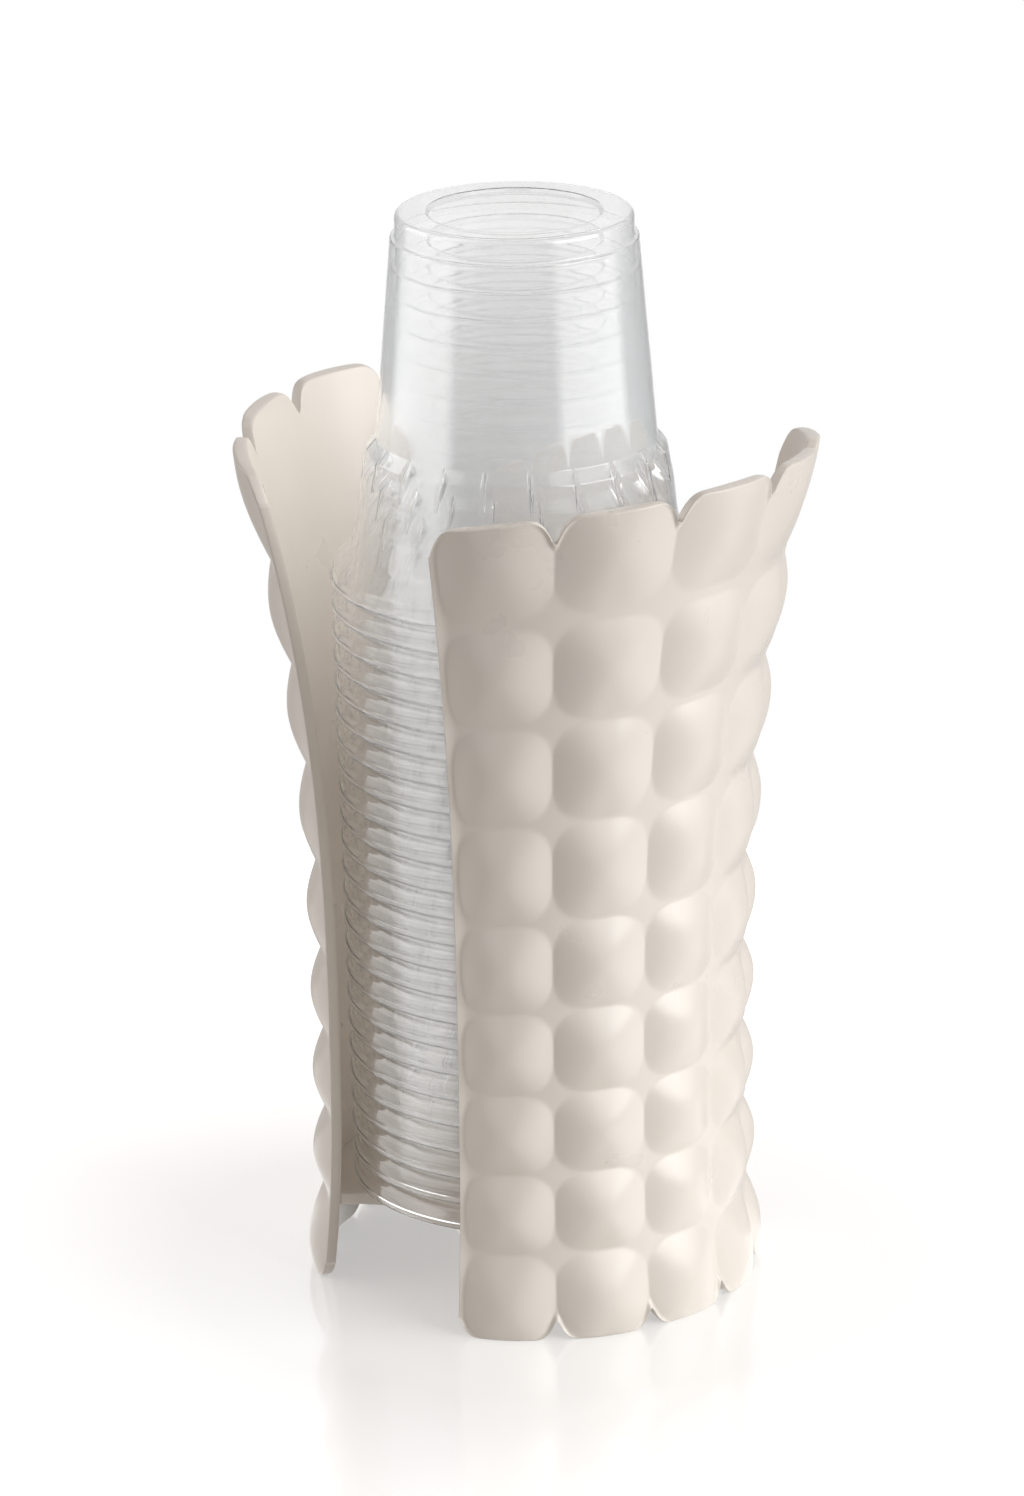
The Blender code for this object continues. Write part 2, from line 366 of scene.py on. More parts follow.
@dataclass(frozen=True)
class HolderForm:
    """Sizes of the quilted ring that both walls are cut from, and its surface as a formula.

    The wall is the thickness of the bare web between cushions. At the wall's edges the edge gain
    is added to it.
    """

    height: float
    waist_share: float = 0.21
    waist_radius: float = 38.15 * MM
    wall: float = 1.3 * MM
    edge_gain: float = 1.0 * MM
    edge_gain_width: float = 2.5 * MM
    columns_around: int = 14
    opening_columns: int = 2
    wall_columns: int = 5
    top_flare: float = 14.35 * MM
    top_flare_power: float = 2.7
    foot_flare: float = 2.1 * MM
    foot_flare_power: float = 2
    row_shares: tuple[float, ...] = (0.100, 0.096, 0.097, 0.100, 0.108, 0.121, 0.122, 0.126, 0.130)
    row_sag: float = 5.2 * MM
    row_sag_power: float = 1.4
    cushion_height: float = 3.6 * MM
    corner_power: float = 2.9
    crown_share: float = 0.7
    column_seam_share: float = 0.99
    row_seam_share: float = 0.835
    foot_cut_share: float = 0.58
    top_cut_share: float = 0.42
    seam_softness: float = 0.06 * MM
    top_notch: float = 4.9 * MM
    foot_notch: float = 3.5 * MM
    lobe_flat_share: float = 0.4
    notch_power: float = 4
    notch_floor_share: float = 0.965
    edge_radius: float = 0.45 * MM

    @property
    def rows(self) -> int:
        """Number of cushion rows."""
        return len(self.row_shares)

    @property
    def column_angle(self) -> float:
        """Angle that one column takes."""
        return math.tau / self.columns_around

    @property
    def opening_half_angle(self) -> float:
        """Angle from the middle of an opening to a wall's free edge."""
        return self.opening_columns * self.column_angle / 2

    @property
    def waist_level(self) -> float:
        """Level of the narrowest place."""
        return self.waist_share * self.height

    def row_levels(self) -> np.ndarray:
        """Levels of the row seams at the middle of the wall, from the foot to the top."""
        shares = np.concatenate([[0], np.cumsum(self.row_shares)])
        return shares / shares[-1] * self.height

    def inside_radius(self, level: np.ndarray) -> np.ndarray:
        """Inside radius: the waist's, plus a power of the share of the way up or down from it.

        Args:
            level: Levels over the table.

        Returns:
            The radii.
        """
        rise = np.maximum(0, (level - self.waist_level) / (self.height - self.waist_level))
        fall = np.maximum(0, (self.waist_level - level) / self.waist_level)
        flare = self.top_flare * rise**self.top_flare_power
        return self.waist_radius + flare + self.foot_flare * fall**self.foot_flare_power

    def seam_level(self, row: np.ndarray, column: np.ndarray, across: np.ndarray) -> np.ndarray:
        """Level of a row seam, foot edge or top edge.

        The seam sags with the square of the distance from the wall's middle, and more the higher
        it is. The foot and the top edge also rise or drop at each column seam, by a power of the
        distance past the lobe's flat.

        Args:
            row: Number of the seam, 0 at the foot.
            column: Place across the wall in columns from its front edge.
            across: Place in the column, from -1 to 1.

        Returns:
            The levels.
        """
        level = self.row_levels()[row]
        from_middle = 2 * column / self.wall_columns - 1
        level = level - self.row_sag * (level / self.height) ** self.row_sag_power * from_middle**2
        reach = np.minimum(np.abs(across), self.notch_floor_share)
        slope = self.notch_floor_share - self.lobe_flat_share
        notch = (np.maximum(0, reach - self.lobe_flat_share) / slope) ** self.notch_power
        rise = np.where(row == 0, self.foot_notch, 0) * notch
        drop = np.where(row == self.rows, self.top_notch, 0) * notch
        return level + rise - drop

    def cushion(
        self, row: np.ndarray, across: np.ndarray, share: np.ndarray, radius: np.ndarray
    ) -> np.ndarray:
        """Height of a cushion over the smooth web, below zero where the web lies bare.

        The cushion is a hyperbola turned over a rounded square: its crown is round and its flanks
        run straight to the seams. It stands on the column's chord, so the chord's dip under the
        web is taken off. Up the cushion the square runs from seam to seam, but the foot edge and
        the top edge cut the cushions of their rows off before that.

        Args:
            row: Number of the row, 0 at the foot.
            across: Place in the column, from -1 to 1.
            share: Place up the row, from 0 to 1.
            radius: Radius of the web.

        Returns:
            The heights.
        """
        low = np.where(row == 0, self.foot_cut_share, self.row_seam_share)
        high = np.where(row == self.rows - 1, self.top_cut_share, self.row_seam_share)
        upward = np.abs((low + high) * share - low)
        sideways = np.abs(across) * self.column_seam_share
        square = sideways**self.corner_power + upward**self.corner_power
        reach = square ** (1 / self.corner_power)
        crown = self.crown_share
        fall = (np.sqrt(crown**2 + reach**2) - crown) / (math.sqrt(crown**2 + 1) - crown)
        dip = radius * (1 - math.cos(self.column_angle / 2)) * (1 - across**2)
        return self.cushion_height * (1 - fall) - dip

    def skin(self, column: np.ndarray, upward: np.ndarray, depth: np.ndarray) -> np.ndarray:
        """Points on the wall's skin, with all its edges rounded.

        A point has an angle from its column, a level between two seams and a radius from the
        inside one, plus its depth times the wall and its relief. The relief is the cushion or, if
        higher, the gain in thickness at the wall's edges, which fades as a square; a soft maximum
        with zero leaves the web smooth. Near an edge the point is drawn in: what its distances
        from the ends lack of the edge radius is scaled to a length of that radius.

        Args:
            column: Place across the wall in columns.
            upward: Place up the wall in rows.
            depth: Share of the thickness, 0 on the inside skin and 1 on the outside one.

        Returns:
            One row of x, y and z for each place.
        """
        cell = np.clip(np.floor(column), 0, self.wall_columns - 1)
        across = 2 * (column - cell) - 1
        row = np.clip(np.floor(upward), 0, self.rows - 1).astype(int)
        share = upward - row
        low, high = self.seam_level(row, column, across), self.seam_level(row + 1, column, across)
        foot = self.seam_level(np.zeros_like(row), column, across)
        top = self.seam_level(np.full_like(row, self.rows), column, across)
        level = low + (high - low) * share
        radius = self.inside_radius(level)
        width = self.column_angle * radius
        ends = np.stack(
            [
                np.minimum(column, self.wall_columns - column) * width,
                np.minimum(level - foot, top - level),
                np.minimum(depth, 1 - depth) * self.wall,
            ]
        )
        fade = np.clip(1 - np.minimum(ends[0], ends[1]) / self.edge_gain_width, 0, 1)
        height = np.maximum(self.cushion(row, across, share, radius + self.wall), self.edge_gain * fade**2)
        relief = (height + np.sqrt(height**2 + self.seam_softness**2)) / 2
        lack = np.maximum(self.edge_radius - ends, 0)
        length = np.maximum(np.sqrt((lack**2).sum(axis=0)), self.edge_radius)
        draw = lack * (1 - self.edge_radius / length)
        column = column + np.where(column < self.wall_columns / 2, 1, -1) * draw[0] / width
        level = level + np.where(upward < self.rows / 2, 1, -1) * draw[1]
        out = depth * (self.wall + relief) + np.where(depth < 0.5, 1, -1) * draw[2]
        radius = self.inside_radius(level) + out
        angle = self.opening_half_angle + column * self.column_angle
        return np.stack([radius * np.sin(angle), -radius * np.cos(angle), level], axis=-1)


@dataclass(frozen=True)
class HolderWall:
    """One quilted wall: a closed slab, fine enough for crisp creases between its cushions."""

    side: Side
    form: HolderForm
    cell_steps: int = 30
    crowding: float = 0.35
    rim_clearance: float = 1.2
    body: str = "holder"
    slot: str = "holder_plastic"

    def stations(self, cells: int, cell_size: float) -> np.ndarray:
        """Grid lines over a run of cells, crowded towards the seams and round the end edges.

        In a cell they lie at t + crowding * t * (1 - t * t), for even t from -1 to 1.

        Args:
            cells: Number of cells in the run.
            cell_size: Typical size of a cell.

        Returns:
            Places in cells, from 0 to their number.
        """
        even = np.linspace(-1, 1, self.cell_steps + 1)[:-1]
        crowded = even + self.crowding * even * (1 - even**2)
        lines = (np.arange(cells)[:, None] + (1 + crowded) / 2).ravel()
        rim = arc_insets(self.form.edge_radius) / cell_size
        spare = self.rim_clearance * rim[-1]
        inner = lines[(lines > spare) & (lines < cells - spare)]
        return np.concatenate([rim, inner, cells - rim[::-1]])

    def build(self, material: bpy.types.Material) -> bpy.types.Object:
        """Make the wall from the six outer sheets of a block of grid points.

        Args:
            material: The holder's finish.

        Returns:
            The wall, riding on the holder.
        """
        form = self.form
        column = self.stations(form.wall_columns, form.column_angle * form.waist_radius)
        upward = self.stations(form.rows, form.height / form.rows)
        rim = arc_insets(form.edge_radius) / form.wall
        depth = np.concatenate([rim, [0.5], 1 - rim[::-1]])
        shape = (len(column), len(upward), len(depth))
        shell = np.zeros(shape, bool)
        shell[[0, -1]] = True
        shell[:, [0, -1]] = True
        shell[:, :, [0, -1]] = True
        ids = np.full(shape, -1)
        ids[shell] = np.arange(shell.sum())
        a, b, c = np.nonzero(shell)
        points = form.skin(column[a], upward[b], depth[c])
        points[:, 0] *= self.side.value
        outward = [ids[-1], ids[:, 0], ids[:, :, -1]]
        inward = [ids[0], ids[:, -1], ids[:, :, 0]]
        faces = [grid_faces(sheet) for sheet in outward] + [grid_faces(sheet)[:, ::-1] for sheet in inward]
        if self.side is Side.LEFT:
            faces = [part[:, ::-1] for part in faces]
        piece = make_piece(f"{self.side.name.lower()}_wall", points, faces, material)
        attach(piece, self.body)
        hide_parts("holder")
        return piece


@dataclass(frozen=True)
class FloorPlate:
    """The raised floor between the walls, with a hollow bite out of its edge in each opening."""

    form: HolderForm
    thickness: float = 2.2 * MM
    root_share: float = 0.5
    bite: float = 8 * MM
    edge_radius: float = 0.5 * MM
    edge_steps: int = 8
    spokes: int = 256
    rings: int = 12
    body: str = "holder"
    slot: str = "holder_plastic"

    @property
    def middle(self) -> float:
        """Level of the middle of the plate, at the first row seam."""
        return float(self.form.row_levels()[1])

    def reach(self, angle: np.ndarray) -> np.ndarray:
        """Distance from the axis to the plate's edge.

        It is the root radius inside the walls, or where a ray meets the bite's circle, if that
        is nearer: the centre's distance along the ray less the half chord.

        Args:
            angle: Angle from +X.

        Returns:
            The distances.
        """
        inside = float(self.form.inside_radius(np.array(self.middle)))
        root = inside + self.root_share * self.form.wall
        half_chord = inside * math.sin(self.form.opening_half_angle)
        chord = inside * math.cos(self.form.opening_half_angle)
        radius = (half_chord**2 + self.bite**2) / (2 * self.bite)
        distance = chord - self.bite + radius
        along = distance * np.abs(np.sin(angle))
        spare = radius**2 - (distance**2 - along**2)
        edge = along - np.sqrt(np.maximum(spare, 0))
        return np.where(spare > 0, np.minimum(root, edge), root)

    def build(self, material: bpy.types.Material) -> bpy.types.Object:
        """Make the plate by turning its rounded edge profile round its own outline.

        Args:
            material: The holder's finish.

        Returns:
            The plate, riding on the holder.
        """
        angle = np.linspace(0, math.tau, self.spokes, endpoint=False)
        turn = np.linspace(math.pi / 2, -math.pi / 2, self.edge_steps + 1)
        upper_or_lower = np.sign(np.arange(self.edge_steps, -self.edge_steps - 1, -2))
        half = self.thickness / 2
        round_inset = self.edge_radius * (1 - np.cos(turn))
        round_level = upper_or_lower * (half - self.edge_radius) + self.edge_radius * np.sin(turn)
        shares = np.linspace(0, 1, self.rings)[1:-1]
        share = np.concatenate([shares, np.ones(len(turn)), shares[::-1]])
        inset = np.concatenate([np.zeros(len(shares)), round_inset, np.zeros(len(shares))])
        level = np.concatenate([np.full(len(shares), half), round_level, np.full(len(shares), -half)])
        radius = share[:, None] * (self.reach(angle)[None, :] - inset[:, None])
        x, y = radius * np.cos(angle), radius * np.sin(angle)
        z = np.broadcast_to(self.middle + level[:, None], radius.shape)
        points = np.stack([x, y, z], axis=-1).reshape(-1, 3)
        ends = np.array([[0, 0, self.middle + half], [0, 0, self.middle - half]])
        faces = turned_faces(len(level), self.spokes)
        piece = make_piece("floor_plate", np.concatenate([points, ends]), faces, material)
        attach(piece, self.body)
        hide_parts("holder")
        return piece


# Cups


@dataclass(frozen=True)
class CupForm:
    """Sizes of one upturned cup, whose depths are counted down from its base.

    The outline's corners run from the middle of the base to the inside of the lip, and each has
    a fillet. Its first and last few points, at the axis and round the lip, don't go down.
    """

    height: float
    lip_radius: float
    wall: float = 0.25 * MM
    recess_radius: float = 16.3 * MM
    recess_depth: float = 0.7 * MM
    recess_slope: float = 0.7 * MM
    heel_radius: float = 22.0 * MM
    heel_draft: float = 0.1 * MM
    ledge_radius: float = 22.9 * MM
    ledge_depth: float = 4.6 * MM
    ledge_slope: float = 0.22 * MM
    shoulder_radius: float = 26.1 * MM
    shoulder_depth: float = 42.6 * MM
    skirt_radius: float = 27.95 * MM
    skirt_depth: float = 44.9 * MM
    skirt_bends: tuple[tuple[float, float], ...] = (
        (29.1 * MM, 51.0 * MM),
        (29.75 * MM, 57.5 * MM),
        (31.1 * MM, 63.2 * MM),
    )
    flare_inset: float = 0.6 * MM
    flare_depth: float = 66.9 * MM
    bead_height: float = 1.15 * MM
    bead_width: float = 0.35 * MM
    bead_slope: float = 0.1 * MM
    skin_end_share: float = 1.5
    base_fillets_mm: tuple[float, ...] = (0, 0.4, 0.4, 1.1, 0.25, 0.35)
    skirt_fillets_mm: tuple[float, ...] = (0.5, 0.8, 12, 12, 4, 1)
    lip_fillets_mm: tuple[float, ...] = (0.08, 0.15, 0.2, 0.08)
    axis_points: int = 3
    lip_points: int = 4
    lugs: int = 20
    groove_depth: float = 48.3 * MM
    groove_half_angle: float = math.radians(1.3)
    groove_tip_share: float = 0.25
    lug_station_shares: tuple[float, ...] = (0, 0.055, 0.11, 0.165, 0.4, 0.7, 1)

    def corners(self) -> list[tuple[float, float, float]]:
        """Corners of the outside from the middle of the base to the lip.

        Returns:
            Radius, depth and fillet radius of each corner.
        """
        neck = self.height - self.bead_height
        throat = self.lip_radius - self.bead_width
        places = [
            (0, self.recess_depth),
            (self.recess_radius - self.recess_slope, self.recess_depth),
            (self.recess_radius, 0),
            (self.heel_radius, 0),
            (self.heel_radius + self.heel_draft, self.ledge_depth - self.ledge_slope),
            (self.ledge_radius, self.ledge_depth),
            (self.shoulder_radius, self.shoulder_depth),
            (self.skirt_radius, self.skirt_depth),
            *self.skirt_bends,
            (self.lip_radius - self.flare_inset, self.flare_depth),
            (throat, neck),
            (self.lip_radius, neck + self.bead_slope),
            (self.lip_radius, self.height),
            (throat - self.wall, self.height),
        ]
        fillets = self.base_fillets_mm + self.skirt_fillets_mm + self.lip_fillets_mm
        return [(radius, depth, fillet * MM) for (radius, depth), fillet in zip(places, fillets)]

    def outline(self, fillet_steps: int = 4, longest: float = 5 * MM) -> np.ndarray:
        """Outline through the corners, each replaced by an arc, with more points along straight runs.

        An arc starts at the fillet radius times the tangent of half the turn before the corner,
        and its points are a circle's, seen from the corner's two edges.

        Args:
            fillet_steps: Steps in each arc.
            longest: Longest straight step.

        Returns:
            Rows of radius and depth, from the axis to the inside of the lip.
        """
        corners = self.corners()
        places = np.array([corner[:2] for corner in corners])
        pieces = [places[:1]]
        for k in range(1, len(corners) - 1):
            before, here, after = places[k - 1 : k + 2]
            inward = (here - before) / np.linalg.norm(here - before)
            onward = (after - here) / np.linalg.norm(after - here)
            turn = math.acos(float(np.clip(inward @ onward, -1, 1)))
            cut = corners[k][2] * math.tan(turn / 2)
            side = (onward - inward) / np.linalg.norm(onward - inward)
            centre = here + side * corners[k][2] / math.cos(turn / 2)
            angles = np.linspace(-turn / 2, turn / 2, fillet_steps + 1)
            ahead = (inward + onward) / np.linalg.norm(inward + onward)
            arc = centre + corners[k][2] * (np.outer(np.sin(angles), ahead) - np.outer(np.cos(angles), side))
            pieces.append(self.straight(pieces[-1][-1], here - cut * inward, longest))
            pieces.append(arc)
        pieces.append(self.straight(pieces[-1][-1], places[-1], longest))
        pieces.append(places[-1:])
        return np.concatenate(pieces)

    @staticmethod
    def straight(
        start: np.ndarray, end: np.ndarray, longest: float, margin: float = 0.25 * MM
    ) -> np.ndarray:
        """Points between two ends of a straight run: one near each end, and even steps between.

        Args:
            start: Radius and depth of the first end.
            end: Radius and depth of the last end.
            longest: Longest step.
            margin: Distance of the outer points from the ends.

        Returns:
            Rows of radius and depth, none where the run is short.
        """
        length = float(np.linalg.norm(end - start))
        if length < 3 * margin:
            return np.empty((0, 2))
        steps = max(1, math.ceil((length - 2 * margin) / longest))
        places = np.linspace(margin, length - margin, steps + 1) / length
        return start + places[:, None] * (end - start)

    def profile(self) -> np.ndarray:
        """Closed half section: the outside outline, then the same one set in by the wall, upwards.

        The inside point is the outside one moved along the outline's normal by the wall.

        Returns:
            Rows of radius and depth; the first and the last lie on the axis.
        """
        outside = self.outline()
        neck = self.height - self.skin_end_share * self.bead_height
        skin = outside[outside[:, 1] < neck]
        ahead = np.gradient(skin, axis=0)
        ahead /= np.linalg.norm(ahead, axis=1)[:, None]
        inside = skin + self.wall * np.stack([-ahead[:, 1], ahead[:, 0]], axis=-1)
        inside[0] = 0, skin[0, 1] + self.wall
        return np.concatenate([outside, inside[::-1]])

    def groove(self, depth: np.ndarray, radius: np.ndarray, off_centre: np.ndarray) -> np.ndarray:
        """How far the shoulder is cut in between two lugs.

        The cut's floor is the straight line from the shoulder down to the groove's end. Across it
        is a raised cosine, as wide as the groove, which narrows to its tip.

        Args:
            depth: Depths under the base, one for each ring.
            radius: Outside radii at those depths.
            off_centre: Angles from the nearest groove's middle, one for each spoke.

        Returns:
            Cuts for each ring and spoke.
        """
        way = np.clip((depth - self.shoulder_depth) / (self.groove_depth - self.shoulder_depth), 0, 1)
        end_radius = np.interp(self.groove_depth, depth, radius)
        floor = self.shoulder_radius + way * (end_radius - self.shoulder_radius)
        inside_groove = (way > 0) & (way < 1)
        cut = np.where(inside_groove, np.maximum(radius - floor, 0), 0)
        half = self.groove_half_angle * (1 - (1 - self.groove_tip_share) * way)
        across = np.clip(np.abs(off_centre)[None, :] / half[:, None], 0, 1)
        return cut[:, None] * (1 + np.cos(math.pi * across)) / 2


@dataclass(frozen=True)
class CupStack:
    """The nested cups, each in the place of its own node."""

    form: CupForm
    nodes: tuple[str, ...]
    top_turn: float = math.radians(-20.8)
    next_turn: float = math.radians(-17.3)
    seed: int = 11
    slot: str = "cup_plastic"

    def turns(self) -> np.ndarray:
        """Turn of each cup about its own axis: at random, but for the two whose lugs show.

        Returns:
            One turn for each cup, from the lowest up.
        """
        turns = np.random.default_rng(self.seed).uniform(0, math.tau / self.form.lugs, len(self.nodes))
        turns[-1] = self.top_turn
        turns[-2] = self.next_turn
        return turns

    def spokes(self) -> np.ndarray:
        """Angles of the cup's vertices, crowded round each groove.

        Returns:
            Angles from the first groove's middle, over the whole turn.
        """
        half = math.pi / self.form.lugs
        near = np.array(self.form.lug_station_shares) * half
        lug = np.concatenate([near, 2 * half - near[-2:0:-1]])
        return (np.arange(self.form.lugs)[:, None] * 2 * half + lug).ravel()

    def build_cup(self, node: str, turn: float, material: bpy.types.Material) -> bpy.types.Object:
        """Make one cup by turning its section, with the grooves cut into both of its skins.

        Args:
            node: CAD node whose place the cup takes.
            turn: Turn about its own axis.
            material: The cups' finish.

        Returns:
            The cup, riding on its own body.
        """
        low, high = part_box(node)
        section = self.form.profile()
        radius, depth = section[1:-1].T
        spokes = self.spokes()
        half = math.pi / self.form.lugs
        off_centre = np.mod(spokes + half, 2 * half) - half
        falling = self.form.outline()[self.form.axis_points : -self.form.lip_points]
        base = np.interp(depth, falling[:, 1], falling[:, 0])
        radii = radius[:, None] - self.form.groove(depth, base, off_centre)
        angle = spokes + turn
        x = (low.x + high.x) / 2 + radii * np.cos(angle)
        y = (low.y + high.y) / 2 + radii * np.sin(angle)
        z = np.broadcast_to(high.z - depth[:, None], radii.shape)
        points = np.stack([x, y, z], axis=-1).reshape(-1, 3)
        middle = [[(low.x + high.x) / 2, (low.y + high.y) / 2, high.z - section[k, 1]] for k in (0, -1)]
        faces = turned_faces(len(radius), len(spokes))
        piece = make_piece(f"clear_{node}", np.concatenate([points, np.array(middle)]), faces, material)
        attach(piece, node)
        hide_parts(node)
        return piece

    def build(self, material: bpy.types.Material) -> list[bpy.types.Object]:
        """Make every cup of the stack, from the lowest up."""
        turned = zip(self.nodes, self.turns())
        return [self.build_cup(node, float(turn), material) for node, turn in turned]


# Studio


@dataclass(frozen=True)
class View:
    """The photograph's camera, fitted to the object."""

    place: tuple[float, float, float] = (0.9353, -0.9019, 0.5452)
    heading: float = math.radians(46.19)
    pitch: float = math.radians(18.814)
    roll: float = math.radians(-0.668)
    focal_pixels: float = 7320
    image_height: int = 1496
    sensor: float = 36

    def build(self) -> bpy.types.Object:
        """Make the camera: its back, right and up axes come from heading, pitch and roll.

        Returns:
            The camera, set as the scene's own.
        """
        sin_h, cos_h = math.sin(self.heading), math.cos(self.heading)
        back = Vector((sin_h * math.cos(self.pitch), -cos_h * math.cos(self.pitch), math.sin(self.pitch)))
        right = Vector((cos_h, sin_h, 0))
        up = back.cross(right)
        tilted_right = right * math.cos(self.roll) + up * math.sin(self.roll)
        tilted_up = up * math.cos(self.roll) - right * math.sin(self.roll)
        lens = bpy.data.cameras.new("studio_camera")
        lens.sensor_width = self.sensor
        lens.lens = self.focal_pixels / self.image_height * self.sensor
        camera = bpy.data.objects.new("studio_camera", lens)
        axes = Matrix((tilted_right, tilted_up, back)).transposed().to_4x4()
        camera.matrix_world = Matrix.Translation(self.place) @ axes
        bpy.context.scene.collection.objects.link(camera)
        bpy.context.scene.camera = camera
        return camera


@dataclass(frozen=True)
class Softbox:
    """An area lamp aimed at the object, placed by angles from the direction of the camera."""

    name: str
    azimuth: float
    elevation: float
    watts: float
    distance: float = 1.3
    width: float = 1.2
    height: float = 0.9
    colour: str = "FFFFFF"
    target: tuple[float, float, float] = (0, 0, 0.1)

    def build(self, heading: float) -> bpy.types.Object:
        """Make the lamp, which the clear walls show by their gloss and not by refraction.

        Args:
            heading: The camera's heading, from which the azimuth is counted to the camera's right.

        Returns:
            The lamp.
        """
        turn = heading + math.radians(self.azimuth)
        lift = math.radians(self.elevation)
        away = Vector((math.sin(turn) * math.cos(lift), -math.cos(turn) * math.cos(lift), math.sin(lift)))
        lamp = bpy.data.lights.new(self.name, "AREA")
        lamp.shape = "RECTANGLE"
        lamp.size = self.width
        lamp.size_y = self.height
        lamp.energy = self.watts
        lamp.color = linear(self.colour)[:3]
        item = bpy.data.objects.new(self.name, lamp)
        item.rotation_euler = away.to_track_quat("Z", "Y").to_euler()
        item.location = Vector(self.target) + away * self.distance
        item.visible_transmission = False
        bpy.context.scene.collection.objects.link(item)
        return item


@dataclass(frozen=True)
class Surround:
    """How bright the studio looks in the object's gloss and through its clear walls.

    Each stop is a direction, in degrees from the lens to its right, and a level. White panels
    stand at both sides, the backdrop is behind, and the room at the lens and in the corners is
    dim. Up to the rise all of it grows brighter by the high share. It is fixed in the room.
    """

    heading: float
    strength: float = 1.5
    high_share: float = 1.3
    rise: float = 0.35
    stops: tuple[tuple[float, float], ...] = (
        (-180, 1.0),
        (-171, 1.0),
        (-160, 0.5),
        (-132, 0.5),
        (-122, 1.5),
        (-64, 1.5),
        (-54, 0.5),
        (32, 0.5),
        (42, 1.5),
        (100, 1.5),
        (110, 0.5),
        (160, 0.5),
        (171, 1.0),
        (180, 1.0),
    )

    def brightness(self, tree: bpy.types.NodeTree, place: bpy.types.NodeSocket) -> bpy.types.NodeSocket:
        """Add nodes that turn a place or direction into its brightness.

        The angle is the arc tangent of the parts of the place along the lens's right and towards
        the lens, and a ramp gives the brightness at that angle.

        Args:
            tree: Node tree that takes the nodes.
            place: Position on the table or direction of the backdrop.

        Returns:
            Socket with the brightness.
        """
        right = (math.cos(self.heading), math.sin(self.heading), 0)
        towards = (math.sin(self.heading), -math.cos(self.heading), 0)
        parts = [
            add_node(tree, "ShaderNodeVectorMath", {"operation": "DOT_PRODUCT", 1: axis}, {0: place})
            for axis in (right, towards)
        ]
        angle = add_node(
            tree,
            "ShaderNodeMath",
            {"operation": "ARCTAN2"},
            {0: parts[0].outputs["Value"], 1: parts[1].outputs["Value"]},
        )
        turn = add_node(
            tree,
            "ShaderNodeMapRange",
            {"From Min": -math.pi, "From Max": math.pi},
            {"Value": angle.outputs["Value"]},
        )
        ramp = add_node(tree, "ShaderNodeValToRGB", links={"Fac": turn.outputs["Result"]})
        elements = ramp.color_ramp.elements
        lens_place = 0.5
        while len(elements) < len(self.stops):
            elements.new(lens_place)
        for element, (degrees, level) in zip(elements, self.stops):
            element.position = degrees / 360 + lens_place
            element.color = (level / self.strength,) * 3 + (1,)
        height = add_node(tree, "ShaderNodeSeparateXYZ", links={"Vector": place}).outputs["Z"]
        share = add_node(
            tree,
            "ShaderNodeMapRange",
            {"From Max": self.rise, "To Min": self.strength, "To Max": self.strength * self.high_share},
            {"Value": height},
        )
        bright = add_node(
            tree,
            "ShaderNodeMath",
            {"operation": "MULTIPLY"},
            {0: ramp.outputs["Color"], 1: share.outputs["Result"]},
        )
        return bright.outputs["Value"]


